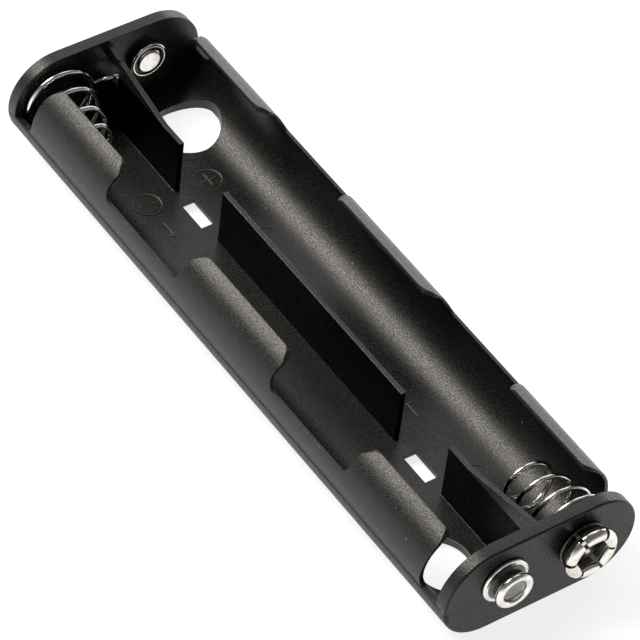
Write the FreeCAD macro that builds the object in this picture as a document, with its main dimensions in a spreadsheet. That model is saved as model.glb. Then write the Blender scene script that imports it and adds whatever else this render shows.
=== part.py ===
import FreeCAD, Part
import math
import os
import re

import Sketcher
from FreeCAD import Placement, Rotation, Vector

# A moulded holder for four cells, two end to end in each of two channels.
# Frame: X across, Y along the channels, Z up. The origin is on the underside, midway
# between the end plates. The plate with the two snap terminals is the near one, at -Y.
# Sizes are in millimetres and angles in degrees.

SIZES = [
    ("overall_width", 31.6, "across the end plates"),
    ("overall_length", 109.2, "over the end plates, without the terminals"),
    ("overall_height", 15.1, "of the end plates"),
    ("plate_thickness", 2.05, "of each end plate"),
    ("plate_edge_round", 0.35, "round of the end plates' outer rims"),
    ("channel_radius", 7.3, "a cell's radius and a little room"),
    ("floor_thickness", 1.3, "under the channels"),
    ("wall_thickness", 0.8, "side wall, beside the cells' axes"),
    ("seam_drop", 0.65, "of the mould's parting line below the plates' middle"),
    ("parting_inset", 0.1, "how far the upper wall stands in from the lower"),
    ("lip_centre_drop", 0.7, "of the lips' centre of curl below the channels' axes"),
    ("lip_angle", 68, "how far the lips curl over"),
    ("lip_tip", 0.55, "thickness of the lips at their tips"),
    ("low_wall_drop", 4.3, "of the wall between two lips below the plates' top"),
    ("centre_lip_length", 22.2, "of the lip half-way along"),
    ("centre_lip_round", 2.0, "corners of the centre lips"),
    ("end_lip_start", 30.7, "from the middle to the end lips"),
    ("end_lip_stop", 48.4, "from the middle to the far side of the end lips"),
    ("end_lip_round", 2.3, "corners of the end lips towards the middle"),
    ("outer_corner_round", 1.8, "corners of the end lips towards the plates"),
    ("lip_foot_round", 1.2, "where a lip's side runs out into the low wall"),
    ("notch_height", 7.2, "bottom of the notch between an end lip and its plate"),
    ("notch_round", 1.2, "corner at that notch's bottom"),
    ("divider_thickness", 0.8, "of the walls between the channels"),
    ("divider_drop", 4.3, "of the dividers below the plates' top"),
    ("middle_divider_length", 44.2, "of the divider half-way along"),
    ("end_divider_start", 33.15, "from the middle to the end dividers"),
    ("ramp_start", 37.5, "where the end dividers begin to climb"),
    ("ramp_drop", 1.0, "of the end dividers below the plates' top, at the plates"),
    ("window_bottom", 7.5, "of the wire's window in the far divider"),
    ("window_drop", 3.1, "of the same window's top below the plates' top"),
    ("window_length", 3.2, "of the same window, from the plate"),
    ("slit_width", 0.35, "of the slit through which the wire was hooked in"),
    ("slot_width", 2.1, "of the two small floor openings"),
    ("slot_length", 5.2, "of the same openings"),
    ("slot_pitch", 55.6, "from one of them to the other"),
    ("relief_depth", 0.7, "of the hollows under them"),
    ("relief_margin", 1.0, "by which a hollow is larger than its opening all round"),
    ("floor_hole_radius", 4.95, "of the round hole in each channel's floor"),
    ("floor_hole_offset", 8.2, "from the middle plane to the round holes"),
    ("floor_hole_place", 43.2, "from the middle to the round holes"),
    ("pin_mark_radius", 1.25, "of the faint discs that the mould's pins left"),
    ("pin_mark_depth", 0.08, "of the same discs"),
    ("far_pin_offset", 4.5, "from the middle plane to the far disc"),
    ("far_pin_place", 36.6, "from the middle to the far disc"),
    ("inner_pin_offset", 6.4, "from the middle plane to the other two discs"),
    ("inner_pin_place", 19.7, "from the middle to the next disc"),
    ("near_pin_place", 32.4, "from the middle to the near disc"),
    ("mark_height", 0.15, "of the raised marks on the floor"),
    ("mark_line", 0.35, "width of their strokes"),
    ("mark_radius", 2.25, "of the polarity marks' rings"),
    ("mark_bar", 2.6, "length of the plus and minus strokes"),
    ("mark_offset", 5.2, "from the middle plane to the marks"),
    ("mark_place", 32.9, "from the middle to the polarity marks"),
    ("arrow_length", 3.4, "of the two arrows"),
    ("arrow_head", 0.8, "half the width of an arrow's head"),
    ("far_arrow_place", 27.0, "from the middle to the left channel's arrow"),
    ("near_arrow_place", 18.3, "from the middle to the right channel's arrow"),
    ("terminal_pitch", 12.7, "between the two snap terminals"),
    ("terminal_height", 9.0, "of the terminals' axes"),
    ("rivet_radius", 1.25, "of the rivets' barrels"),
    ("rivet_bore", 0.75, "radius of the hollow in a rivet"),
    ("rivet_clearance", 0.05, "between a barrel and its hole"),
    ("rivet_head_radius", 2.6, "of the heads inside the near plate"),
    ("rivet_head_height", 1.0, "of the head that touches a cell"),
    ("rivet_flare_radius", 1.6, "of the rolled ends inside the terminals"),
    ("rivet_flare_height", 0.3, "of the same ends"),
    ("clamp_head_height", 0.5, "of the head that holds a spring's wire"),
    ("flange_radius", 3.7, "of the terminals' foot flanges"),
    ("flange_thickness", 0.45, "of the same flanges"),
    ("stud_neck_radius", 2.2, "of the stud's neck"),
    ("stud_head_radius", 2.95, "of the stud's rolled rim"),
    ("stud_roll_radius", 0.6, "of the roll itself"),
    ("stud_height", 2.85, "of the stud over the plate"),
    ("stud_floor", 1.5, "height of the sunken face inside the rim"),
    ("socket_radius", 4.2, "of the socket's petals at their widest"),
    ("socket_height", 3.1, "of the socket over the plate"),
    ("socket_sheet", 0.35, "thickness of the petals"),
    ("socket_curl", 0.9, "outer radius of the petals' curl"),
    ("socket_mouth", 2.6, "radius of the opening between the petals' tips"),
    ("socket_floor", 0.8, "height of the face inside the socket"),
    ("petal_slit", 0.4, "gap between two petals"),
    ("button_flange_radius", 3.0, "of the far contact's flange"),
    ("button_flange_thickness", 0.3, "of the same flange"),
    ("button_radius", 1.9, "of the face that touches a cell"),
    ("button_height", 0.3, "of that face over the flange"),
    ("button_edge", 0.15, "round of the button's edge"),
    ("clinch_radius", 2.2, "of the far contact's closed end"),
    ("clinch_height", 0.5, "of the same end outside the plate"),
    ("wire_radius", 0.4, "of the springs' wire"),
    ("wire_clearance", 0.05, "between the wire and what holds it"),
    ("near_coil_room", 1.0, "from the near spring's first turn out to the channel's wall"),
    ("near_coil_gap", 2.6, "from the same turn in to the divider"),
    ("near_tip_radius", 3.4, "of the same spring's last turn, to the wire's middle"),
    ("near_tip_shift", -0.9, "of its last turn from the channel's axis, outwards"),
    ("far_coil_room", 0.7, "from the far spring's first turn out to the channel's wall"),
    ("far_coil_gap", 2.3, "from the same turn in to the divider"),
    ("far_tip_radius", 2.7, "of the same spring's last turn, to the wire's middle"),
    ("far_tip_shift", 1.4, "of its last turn from the channel's axis, outwards"),
    ("coil_drop", 0.4, "of both coils' axes below the channels' axes"),
    ("spring_length", 11.8, "of a spring, from its plate to its tip"),
    ("spring_turns", 4.25, "of a spring's cone"),
    ("closed_turns", 0.5, "turns that lie flat at each end of a cone"),
    ("eye_gap", 60, "half the angle that the wire's eye leaves open"),
    ("wire_pass_depth", 2.2, "from the far plate to the wire in the window"),
    ("wire_pass_height", 9.6, "of the wire in the window"),
]

doc = FreeCAD.newDocument("cell_holder")
sheet = doc.addObject("Spreadsheet::Sheet", "Sizes")
for row, (alias, value, note) in enumerate(SIZES, start=1):
    sheet.set(f"A{row}", alias)
    sheet.set(f"B{row}", str(value))
    sheet.setAlias(f"B{row}", alias)
    sheet.set(f"C{row}", note)
doc.recompute()
ALIASES = {alias for alias, _, _ in SIZES}


def bound(formula):
    """The formula with each size's name pointing to its cell in the sheet."""
    return re.sub(r"[a-z_]+", lambda m: f"Sizes.{m[0]}" if m[0] in ALIASES else m[0], formula)


def number(formula):
    """What a formula of the sheet's sizes comes to now."""
    return float(sheet.evalExpression(formula))


def bind(thing, **formulas):
    """Tie properties to the sheet. Two underscores in a name stand for a full stop."""
    for name, formula in formulas.items():
        thing.setExpression(name.replace("__", "."), bound(formula))


# Places that several pieces share, as formulas of the sheet's sizes.
INNER_FACE = "(overall_length / 2 - plate_thickness)"
PLATE_MIDDLE = "(overall_length / 2 - plate_thickness / 2)"
END_RADIUS = "(overall_height / 2)"
PARTING = f"({END_RADIUS} - seam_drop)"
LOW_WALL = "(overall_height - low_wall_drop)"
DIVIDER_TOP = "(overall_height - divider_drop)"
WINDOW_TOP = "(overall_height - window_drop)"
INNER_WALL = "(overall_width / 2 - wall_thickness)"
CHANNEL_X = f"({INNER_WALL} - channel_radius)"
CHANNEL_Z = "(floor_thickness + channel_radius)"
COIL_Z = f"({CHANNEL_Z} - coil_drop)"
OUTER_WALL = "(overall_width / 2 - parting_inset)"
LIP_CENTRE = f"({CHANNEL_Z} - lip_centre_drop)"
LIP_RADIUS = f"(overall_height - {LIP_CENTRE})"
LIP_TOP = f"({LIP_CENTRE} + {LIP_RADIUS} * sin(lip_angle))"
HOLE_RADIUS = "(rivet_radius + rivet_clearance)"
WIRE_SEAT = "(2 * wire_radius + 2 * wire_clearance)"

CLOSE = 1e-6  # two lengths that differ by less are the same
STEPS_PER_TURN = 20  # straight runs of wire in one turn of a coil


def mirrored(corners):
    """The same closed outline on the other side of its second axis."""
    bends = [corner[2] for corner in corners[1:] + corners[:1]]
    turned = [(f"-({x})", y, bend) for (x, y, _), bend in zip(corners, bends)]
    return turned[::-1]


def arc_middle(start, stop, radius, turn):
    """The middle of the shorter arc from start to stop; turn 1 is to the left."""
    chord = stop - start
    middle = (start + stop) / 2
    left = Vector(-chord.y, chord.x, 0) / chord.Length
    height = radius - math.sqrt(max(0.0, radius**2 - (chord.Length / 2) ** 2))
    return middle - left * height * turn


def draw_outline(sketch, corners):
    """Close a profile through corners (x, y, bend), each tied to the sheet.

    A bend is None for a straight edge up to the corner, or the radius of an arc up to it,
    with a minus sign when the arc turns right.
    """
    places = [Vector(number(x), number(y), 0) for x, y, _ in corners]
    first = sketch.GeometryCount
    for i, (_, _, bend) in enumerate(corners):
        start, stop = places[i - 1], places[i]
        if bend is None:
            sketch.addGeometry(Part.LineSegment(start, stop))
        else:
            radius = number(bend)
            turn = math.copysign(1, radius)
            middle = arc_middle(start, stop, abs(radius), turn)
            sketch.addGeometry(Part.Arc(start, middle, stop))
    for i, (x, y, bend) in enumerate(corners):
        edge = first + i
        following = first + (i + 1) % len(corners)
        # an arc is stored counter-clockwise, so one that turns right ends at its first point
        end_point = 1 if bend and bend.startswith("-") else 2
        next_bend = corners[(i + 1) % len(corners)][2]
        start_point = 2 if next_bend and next_bend.startswith("-") else 1
        join = Sketcher.Constraint("Coincident", edge, end_point, following, start_point)
        sketch.addConstraint(join)
        for kind, formula in (("DistanceX", x), ("DistanceY", y)):
            place = Sketcher.Constraint(kind, -1, 1, edge, end_point, number(formula))
            index = sketch.addConstraint(place)
            sketch.setExpression(f"Constraints[{index}]", bound(formula))
        if bend is not None:
            size = Sketcher.Constraint("Radius", edge, abs(number(bend)))
            index = sketch.addConstraint(size)
            sketch.setExpression(f"Constraints[{index}]", bound(bend.lstrip("-")))


def draw_circle(sketch, x, y, radius):
    """A circle whose centre and radius are tied to the sheet."""
    centre = Vector(number(x), number(y), 0)
    circle = Part.Circle(centre, Vector(0, 0, 1), number(radius))
    edge = sketch.addGeometry(circle)
    for kind, formula in (("DistanceX", x), ("DistanceY", y)):
        place = Sketcher.Constraint(kind, -1, 1, edge, 3, number(formula))
        index = sketch.addConstraint(place)
        sketch.setExpression(f"Constraints[{index}]", bound(formula))
    index = sketch.addConstraint(Sketcher.Constraint("Radius", edge, number(radius)))
    sketch.setExpression(f"Constraints[{index}]", bound(radius))


def box_outline(left, bottom, right, top):
    """Four corners of an upright rectangle."""
    return [(left, bottom, None), (right, bottom, None), (right, top, None), (left, top, None)]


def new_body(name):
    body = doc.addObject("PartDesign::Body", name)
    body.Label = name
    return body


def new_sketch(body, name, plane, offset="0"):
    """A sketch on one of the body's own planes, moved along the plane's normal."""
    sketch = body.newObject("Sketcher::SketchObject", name)
    origin_plane = next(f for f in body.Origin.OriginFeatures if f.Role == plane)
    sketch.AttachmentSupport = [(origin_plane, "")]
    sketch.MapMode = "FlatFace"
    bind(sketch, AttachmentOffset__Base__z=offset)
    return sketch


def extrude(body, kind, name, sketch, length, symmetric):
    """A Pad or a Pocket of the sketch."""
    feature = body.newObject(f"PartDesign::{kind}", name)
    feature.Profile = sketch
    feature.SideType = "Symmetric" if symmetric else "One side"
    bind(feature, Length=length)
    sketch.Visibility = False
    return feature


def revolve(body, name, sketch):
    """A full turn of the sketch about its own upright axis."""
    feature = body.newObject("PartDesign::Revolution", name)
    feature.Profile = sketch
    feature.ReferenceAxis = (sketch, ["V_Axis"])
    feature.Angle = 360
    return feature


def stand_on_plate(body, side, face, x):
    """Put a turned piece, made about its own Y axis, on the far (1) or near (-1) plate."""
    body.Placement = Placement(Vector(), Rotation(Vector(0, 0, 1), 0 if side > 0 else 180))
    bind(
        body,
        Placement__Base__x=x,
        Placement__Base__y=f"{side} * {face}",
        Placement__Base__z="terminal_height",
    )


def make_housing():
    body = new_body("housing")

    # Half of the section between the plates: underside, side wall, lip and channel.
    lip_x = f"({OUTER_WALL} - {LIP_RADIUS} * (1 - cos(lip_angle)))"
    tip_x = f"({lip_x} - lip_tip * cos(lip_angle))"
    tip_z = f"({LIP_TOP} - lip_tip * sin(lip_angle))"
    reach = f"({INNER_WALL} - {tip_x})"
    rise = f"({tip_z} - {CHANNEL_Z})"
    inner_radius = f"(({reach} ^ 2 + {rise} ^ 2) / (2 * {reach}))"
    seam_x = f"(overall_width / 2 - {END_RADIUS} + sqrt({END_RADIUS} ^ 2 - seam_drop ^ 2))"
    half = [
        (f"overall_width / 2 - {END_RADIUS}", "0", None),
        (seam_x, PARTING, END_RADIUS),
        (OUTER_WALL, PARTING, None),
        (OUTER_WALL, LIP_CENTRE, None),
        (lip_x, LIP_TOP, LIP_RADIUS),
        (tip_x, tip_z, None),
        (INNER_WALL, CHANNEL_Z, f"-{inner_radius}"),
        (CHANNEL_X, "floor_thickness", "-channel_radius"),
    ]
    section = new_sketch(body, "section", "XZ_Plane")
    draw_outline(section, half + mirrored(half))
    extrude(body, "Pad", "tray", section, "overall_length - plate_thickness", True)

    # The side view: gaps between the lips, and a notch beside each plate.
    above = "(overall_height + 1)"
    centre_lip = "(centre_lip_length / 2)"
    gap = [
        (f"{centre_lip} - centre_lip_round", above, None),
        (f"{centre_lip} - centre_lip_round", LIP_TOP, None),
        (centre_lip, f"{LIP_TOP} - centre_lip_round", "-centre_lip_round"),
        (centre_lip, f"{LOW_WALL} + lip_foot_round", None),
        (f"{centre_lip} + lip_foot_round", LOW_WALL, "lip_foot_round"),
        ("end_lip_start - lip_foot_round", LOW_WALL, None),
        ("end_lip_start", f"{LOW_WALL} + lip_foot_round", "lip_foot_round"),
        ("end_lip_start", f"{LIP_TOP} - end_lip_round", None),
        ("end_lip_start + end_lip_round", LIP_TOP, "-end_lip_round"),
        ("end_lip_start + end_lip_round", above, None),
    ]
    notch = [
        ("end_lip_stop - outer_corner_round", above, None),
        ("end_lip_stop - outer_corner_round", LIP_TOP, None),
        ("end_lip_stop", f"{LIP_TOP} - outer_corner_round", "-outer_corner_round"),
        ("end_lip_stop", "notch_height + notch_round", None),
        ("end_lip_stop + notch_round", "notch_height", "notch_round"),
        (PLATE_MIDDLE, "notch_height", None),
        (PLATE_MIDDLE, above, None),
    ]
    side_view = new_sketch(body, "side_view", "YZ_Plane")
    for outline in (gap, mirrored(gap), notch, mirrored(notch)):
        draw_outline(side_view, outline)
    extrude(body, "Pocket", "lip_gaps", side_view, "2 * overall_width", True)

    # The end plates have half-round ends.
    half_plate = [
        (f"overall_width / 2 - {END_RADIUS}", "0", None),
        ("overall_width / 2", END_RADIUS, END_RADIUS),
        (f"overall_width / 2 - {END_RADIUS}", "overall_height", END_RADIUS),
    ]
    plate_starts = {"near_plate": INNER_FACE, "far_plate": "-overall_length / 2"}
    for name, start in plate_starts.items():
        outline = new_sketch(body, f"{name}_outline", "XZ_Plane", start)
        draw_outline(outline, half_plate + mirrored(half_plate))
        extrude(body, "Pad", name, outline, "plate_thickness", False)

    # Dividers on the middle plane. The far one has the wire's window, and a tab over it.
    root = "(floor_thickness / 2)"
    slope = f"((divider_drop - ramp_drop) / ({INNER_FACE} - ramp_start))"
    window_edge = f"({INNER_FACE} - window_length)"
    tab_edge = f"({window_edge} + slit_width)"

    def ramp_at(place):
        return f"{DIVIDER_TOP} + {slope} * ({place} - ramp_start)"

    middle_divider = box_outline(
        "-middle_divider_length / 2", root, "middle_divider_length / 2", DIVIDER_TOP
    )
    near_divider = [
        ("end_divider_start", root, None),
        (PLATE_MIDDLE, root, None),
        (PLATE_MIDDLE, ramp_at(PLATE_MIDDLE), None),
        ("ramp_start", DIVIDER_TOP, None),
        ("end_divider_start", DIVIDER_TOP, None),
    ]
    far_divider = [
        ("end_divider_start", root, None),
        (PLATE_MIDDLE, root, None),
        (PLATE_MIDDLE, "window_bottom", None),
        (window_edge, "window_bottom", None),
        (window_edge, ramp_at(window_edge), None),
        ("ramp_start", DIVIDER_TOP, None),
        ("end_divider_start", DIVIDER_TOP, None),
    ]
    tab = [
        (tab_edge, WINDOW_TOP, None),
        (PLATE_MIDDLE, WINDOW_TOP, None),
        (PLATE_MIDDLE, ramp_at(PLATE_MIDDLE), None),
        (tab_edge, ramp_at(tab_edge), None),
    ]
    divider_view = new_sketch(body, "divider_view", "YZ_Plane")
    for outline in (middle_divider, mirrored(near_divider), far_divider, tab):
        draw_outline(divider_view, outline)
    extrude(body, "Pad", "dividers", divider_view, "divider_thickness", True)

    # Openings in the floor: two small slots in shallow hollows, and two round holes.
    reliefs = new_sketch(body, "relief_outlines", "XY_Plane")
    slots = new_sketch(body, "floor_openings", "XY_Plane")
    for side in (-1, 1):
        middle = f"{side} * slot_pitch / 2"
        for sketch, margin in ((reliefs, "relief_margin"), (slots, "0")):
            draw_outline(
                sketch,
                box_outline(
                    f"-slot_width / 2 - {margin}",
                    f"{middle} - slot_length / 2 - {margin}",
                    f"slot_width / 2 + {margin}",
                    f"{middle} + slot_length / 2 + {margin}",
                ),
            )
        draw_circle(
            slots, f"{side} * floor_hole_offset", f"{side} * floor_hole_place", "floor_hole_radius"
        )
    extrude(body, "Pocket", "reliefs", reliefs, "2 * relief_depth", True)
    extrude(body, "Pocket", "openings", slots, f"2 * {CHANNEL_Z}", True)

    # Holes for the rivets in the plates.
    near_holes = new_sketch(body, "near_rivet_holes", "XZ_Plane", PLATE_MIDDLE)
    far_hole = new_sketch(body, "far_rivet_hole", "XZ_Plane", f"-{PLATE_MIDDLE}")
    draw_circle(near_holes, "-terminal_pitch / 2", "terminal_height", HOLE_RADIUS)
    draw_circle(near_holes, "terminal_pitch / 2", "terminal_height", HOLE_RADIUS)
    draw_circle(far_hole, "terminal_pitch / 2", "terminal_height", HOLE_RADIUS)
    extrude(body, "Pocket", "near_holes", near_holes, "2 * plate_thickness", True)
    extrude(body, "Pocket", "far_hole", far_hole, "2 * plate_thickness", True)

    # Raised marks: a ringed minus and a ringed plus, and an arrow in each channel.
    marks = new_sketch(body, "mark_outlines", "XY_Plane", root)
    for side in (-1, 1):
        x = f"{side} * mark_offset"
        draw_circle(marks, x, "mark_place", "mark_radius")
        draw_circle(marks, x, "mark_place", "mark_radius - mark_line")
    draw_outline(
        marks,
        box_outline(
            "-mark_offset - mark_bar / 2",
            "mark_place - mark_line / 2",
            "-mark_offset + mark_bar / 2",
            "mark_place + mark_line / 2",
        ),
    )
    arm, stroke = "mark_bar / 2", "mark_line / 2"
    plus = [
        (f"mark_offset {x_sign} {x}", f"mark_place {y_sign} {y}", None)
        for x_sign, x, y_sign, y in (
            ("+", arm, "+", stroke),
            ("+", stroke, "+", stroke),
            ("+", stroke, "+", arm),
            ("-", stroke, "+", arm),
            ("-", stroke, "+", stroke),
            ("-", arm, "+", stroke),
            ("-", arm, "-", stroke),
            ("-", stroke, "-", stroke),
            ("-", stroke, "-", arm),
            ("+", stroke, "-", arm),
            ("+", stroke, "-", stroke),
            ("+", arm, "-", stroke),
        )
    ]
    draw_outline(marks, plus)
    arrows = ((-1, "far_arrow_place", -1), (1, "-near_arrow_place", 1))
    for side, place, pointing in arrows:
        x = f"{side} * mark_offset"
        neck = f"{place} + {pointing} * (arrow_length / 2 - arrow_head)"
        draw_outline(
            marks,
            [
                (x, f"{place} + {pointing} * arrow_length / 2", None),
                (f"{x} - arrow_head", neck, None),
                (f"{x} - mark_line / 2", neck, None),
                (f"{x} - mark_line / 2", f"{place} - {pointing} * arrow_length / 2", None),
                (f"{x} + mark_line / 2", f"{place} - {pointing} * arrow_length / 2", None),
                (f"{x} + mark_line / 2", neck, None),
                (f"{x} + arrow_head", neck, None),
            ],
        )
    pins = new_sketch(body, "pin_outlines", "XY_Plane", "floor_thickness")
    draw_circle(pins, "far_pin_offset", "far_pin_place", "pin_mark_radius")
    draw_circle(pins, "inner_pin_offset", "inner_pin_place", "pin_mark_radius")
    draw_circle(pins, "inner_pin_offset", "-near_pin_place", "pin_mark_radius")
    extrude(body, "Pocket", "pin_marks", pins, "2 * pin_mark_depth", True)
    raised = extrude(body, "Pad", "marks", marks, f"{root} + mark_height", False)
    doc.recompute()

    # The plates' outer rims are a little round. The rivets' holes keep sharp edges.
    end = number("overall_length / 2")
    widest_hole = number(f"4 * {HOLE_RADIUS}")
    rims = [
        f"Edge{i}"
        for i, edge in enumerate(raised.Shape.Edges, start=1)
        if abs(abs(edge.CenterOfMass.y) - end) < CLOSE
        and edge.BoundBox.YLength < CLOSE
        and edge.BoundBox.DiagonalLength > widest_hole
    ]
    rounding = body.newObject("PartDesign::Fillet", "rim_round")
    rounding.Base = (raised, rims)
    bind(rounding, Radius="plate_edge_round")
    return body


def make_positive_snap():
    """The stud: a foot flange, a neck and a rolled rim round a sunken face."""
    body = new_body("positive_snap")
    profile = new_sketch(body, "stud_profile", "XY_Plane")
    roll_x = "(stud_head_radius - stud_roll_radius)"
    roll_y = "(stud_height - stud_roll_radius)"
    draw_outline(
        profile,
        [
            (HOLE_RADIUS, "0", None),
            ("flange_radius", "0", None),
            ("flange_radius", "flange_thickness", None),
            ("stud_neck_radius", "flange_thickness", None),
            ("stud_neck_radius", f"{roll_y} - stud_roll_radius", None),
            (roll_x, f"{roll_y} - stud_roll_radius", None),
            ("stud_head_radius", roll_y, "stud_roll_radius"),
            (roll_x, "stud_height", "stud_roll_radius"),
            (f"{roll_x} - stud_roll_radius", roll_y, "stud_roll_radius"),
            (f"{roll_x} - stud_roll_radius", "stud_floor", None),
            (HOLE_RADIUS, "stud_floor", None),
        ],
    )
    revolve(body, "stud", profile)
    stand_on_plate(body, -1, "overall_length / 2", "-terminal_pitch / 2")
    return body


def make_negative_snap():
    """The socket: a foot flange and a cup of six petals whose tips curl inwards."""
    body = new_body("negative_snap")
    profile = new_sketch(body, "socket_profile", "XY_Plane")
    inner = "(socket_radius - socket_sheet)"
    curl_y = "(socket_height - socket_curl)"
    draw_outline(
        profile,
        [
            (HOLE_RADIUS, "0", None),
            ("flange_radius", "0", None),
            ("flange_radius", "flange_thickness", None),
            ("flange_radius - socket_sheet", "flange_thickness", None),
            ("socket_radius", f"{curl_y} - socket_sheet", None),
            ("socket_radius", curl_y, None),
            ("socket_radius - socket_curl", "socket_height", "socket_curl"),
            ("socket_mouth", "socket_height - socket_sheet", None),
            ("socket_mouth + socket_sheet / 2", "socket_height - 2 * socket_sheet", None),
            ("socket_radius - socket_curl", "socket_height - socket_sheet", None),
            (inner, curl_y, "-(socket_curl - socket_sheet)"),
            (inner, f"{curl_y} - socket_sheet", None),
            ("flange_radius - 2 * socket_sheet", "socket_floor", None),
            (HOLE_RADIUS, "socket_floor", None),
        ],
    )
    revolve(body, "cup", profile)
    doc.recompute()
    slit = new_sketch(body, "slit_outline", "XY_Plane")
    draw_outline(
        slit,
        box_outline(
            "-2 * socket_radius",
            "socket_floor + socket_sheet / 2",
            "2 * socket_radius",
            "2 * socket_height",
        ),
    )
    cut = extrude(body, "Pocket", "petal_slits", slit, "petal_slit", True)
    pattern = body.newObject("PartDesign::PolarPattern", "petals")
    pattern.Originals = [cut]
    pattern.Axis = (profile, ["V_Axis"])
    pattern.Angle = 120
    pattern.Occurrences = 3
    body.Tip = pattern
    stand_on_plate(body, -1, "overall_length / 2", "terminal_pitch / 2")
    return body


def make_rivet(name, x, head_gap, head_height, seat):
    """A hollow rivet through the near plate, rolled over on a terminal's inner face.

    Its head stands inside the plate, head_gap away from it, and seat is the height of the
    terminal's face over the plate's outer side.
    """
    body = new_body(name)
    profile = new_sketch(body, f"{name}_profile", "XY_Plane")
    under_head = f"(-plate_thickness - {head_gap})"
    bottom = f"({under_head} - {head_height})"
    round_edge = f"({head_height} / 2)"
    draw_outline(
        profile,
        [
            ("0", bottom, None),
            (f"rivet_head_radius - {round_edge}", bottom, None),
            ("rivet_head_radius", f"{bottom} + {round_edge}", round_edge),
            ("rivet_head_radius", under_head, None),
            ("rivet_radius", under_head, None),
            ("rivet_radius", seat, None),
            ("rivet_flare_radius", seat, None),
            ("rivet_flare_radius", f"{seat} + rivet_flare_height", None),
            ("rivet_bore", f"{seat} + rivet_flare_height", None),
            ("rivet_bore", under_head, None),
            ("0", under_head, None),
        ],
    )
    revolve(body, f"{name}_turned", profile)
    stand_on_plate(body, -1, "overall_length / 2", x)
    return body


def make_positive_contact():
    """The far contact: a button on a flange, over the wire's loop, closed outside the plate."""
    body = new_body("positive_contact")
    profile = new_sketch(body, "contact_profile", "XY_Plane")
    under_flange = f"(-plate_thickness - {WIRE_SEAT})"
    flange = f"({under_flange} - button_flange_thickness)"
    face = f"({flange} - button_height)"
    flange_round = "(button_flange_thickness / 2)"
    draw_outline(
        profile,
        [
            ("0", face, None),
            ("button_radius - button_edge", face, None),
            ("button_radius", f"{face} + button_edge", "button_edge"),
            ("button_radius", flange, None),
            (f"button_flange_radius - {flange_round}", flange, None),
            ("button_flange_radius", f"{flange} + {flange_round}", flange_round),
            ("button_flange_radius", under_flange, None),
            ("rivet_radius", under_flange, None),
            ("rivet_radius", "0", None),
            ("clinch_radius", "0", None),
            ("clinch_radius", "clinch_height", None),
            ("0", "clinch_height", None),
        ],
    )
    revolve(body, "contact_turned", profile)
    stand_on_plate(body, 1, "overall_length / 2", "terminal_pitch / 2")
    return body


def eye_points(centre_x, first, last):
    """The wire's eye round a rivet, flat on the plate, between two angles."""
    radius = number(f"{HOLE_RADIUS} + 2 * wire_clearance + wire_radius")
    depth = number("wire_radius + wire_clearance")
    centre_z = number(f"terminal_height - {COIL_Z}")
    steps = math.ceil(STEPS_PER_TURN * (last - first) / 360)
    points = []
    for i in range(steps + 1):
        angle = math.radians(first + (last - first) * i / steps)
        out, up = radius * math.cos(angle), radius * math.sin(angle)
        points.append(Vector(centre_x + out, depth, centre_z + up))
    return points


def coil_offset(end):
    """From the middle plane to the middle of the near or far spring's first turn."""
    outside = f"({INNER_WALL} - {end}_coil_room)"
    inside = f"(divider_thickness / 2 + {end}_coil_gap)"
    return f"(({outside} + {inside}) / 2)"


def coil_radius(end):
    """Radius of the same turn, to the wire's middle."""
    return f"({INNER_WALL} - {end}_coil_room - wire_radius - {coil_offset(end)})"


def cone_points(end):
    """The coil of the near or far end, from its side at -X in its own frame.

    It is widest and flat at the plate, and its axis leans by the tip's shift.
    """
    turns = number("spring_turns")
    closed = number("closed_turns")
    widest, narrowest = number(coil_radius(end)), number(f"{end}_tip_radius")
    lean = number(f"{CHANNEL_X} + {end}_tip_shift - {coil_offset(end)}")
    lowest = number("wire_radius + wire_clearance")
    highest = number("spring_length - wire_radius")
    steps = math.ceil(turns * STEPS_PER_TURN)
    points = []
    for i in range(steps + 1):
        turn = turns * i / steps
        share = min(1.0, max(0.0, (turn - closed) / (turns - 2 * closed)))
        angle = math.pi + 2 * math.pi * turn
        radius = widest + (narrowest - widest) * share
        depth = lowest + (highest - lowest) * share
        out, up = radius * math.cos(angle), radius * math.sin(angle)
        points.append(Vector(lean * share + out, depth, up))
    return points


def wire_solid(points):
    """Round wire along straight runs with mitred joints."""
    path = Part.makePolygon(points)
    circle = Part.makeCircle(number("wire_radius"), points[0], points[1] - points[0])
    mitred = 1
    return path.makePipeShell([Part.Wire([circle])], True, False, mitred)


def place_spring(name, side, end, points):
    """A wire made with its plate at y = 0, moved to the far (1) or near (-1) plate."""
    spring = doc.addObject("Part::Feature", name)
    spring.Label = name
    spring.Shape = wire_solid(points)
    spring.Placement = Placement(Vector(), Rotation(Vector(0, 0, 1), 0 if side < 0 else 180))
    bind(
        spring,
        Placement__Base__x=f"{-side} * {coil_offset(end)}",
        Placement__Base__y=f"{side} * {INNER_FACE}",
        Placement__Base__z=COIL_Z,
    )
    return spring


def make_negative_spring():
    """The near coil: its wire's eye lies inside the first turn, under the rivet's head."""
    gap = number("eye_gap")
    centre_x = number(f"terminal_pitch / 2 - {coil_offset('near')}")
    eye = eye_points(centre_x, 180 + gap, 540 - gap)
    return place_spring("negative_spring", -1, "near", eye + cone_points("near"))


def make_bridge_spring():
    """The far coil: its wire goes on through the divider's window to the other contact."""
    gap = number("eye_gap")
    divider = number(f"-{coil_offset('far')}")
    centre_x = divider - number("terminal_pitch / 2")
    eye = eye_points(centre_x, gap, 360 - gap)
    flange_edge = centre_x + number("button_flange_radius + 2 * wire_radius")
    beside = number("divider_thickness / 2 + wire_radius")
    pass_depth = number("wire_pass_depth")
    pass_height = number(f"wire_pass_height - {COIL_Z}")
    lead = [
        Vector(flange_edge, eye[0].y, number(f"terminal_height - {COIL_Z}")),
        Vector(divider - beside, pass_depth, pass_height),
        Vector(divider + beside, pass_depth, pass_height),
    ]
    return place_spring("bridge_spring", 1, "far", eye + lead + cone_points("far"))


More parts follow.
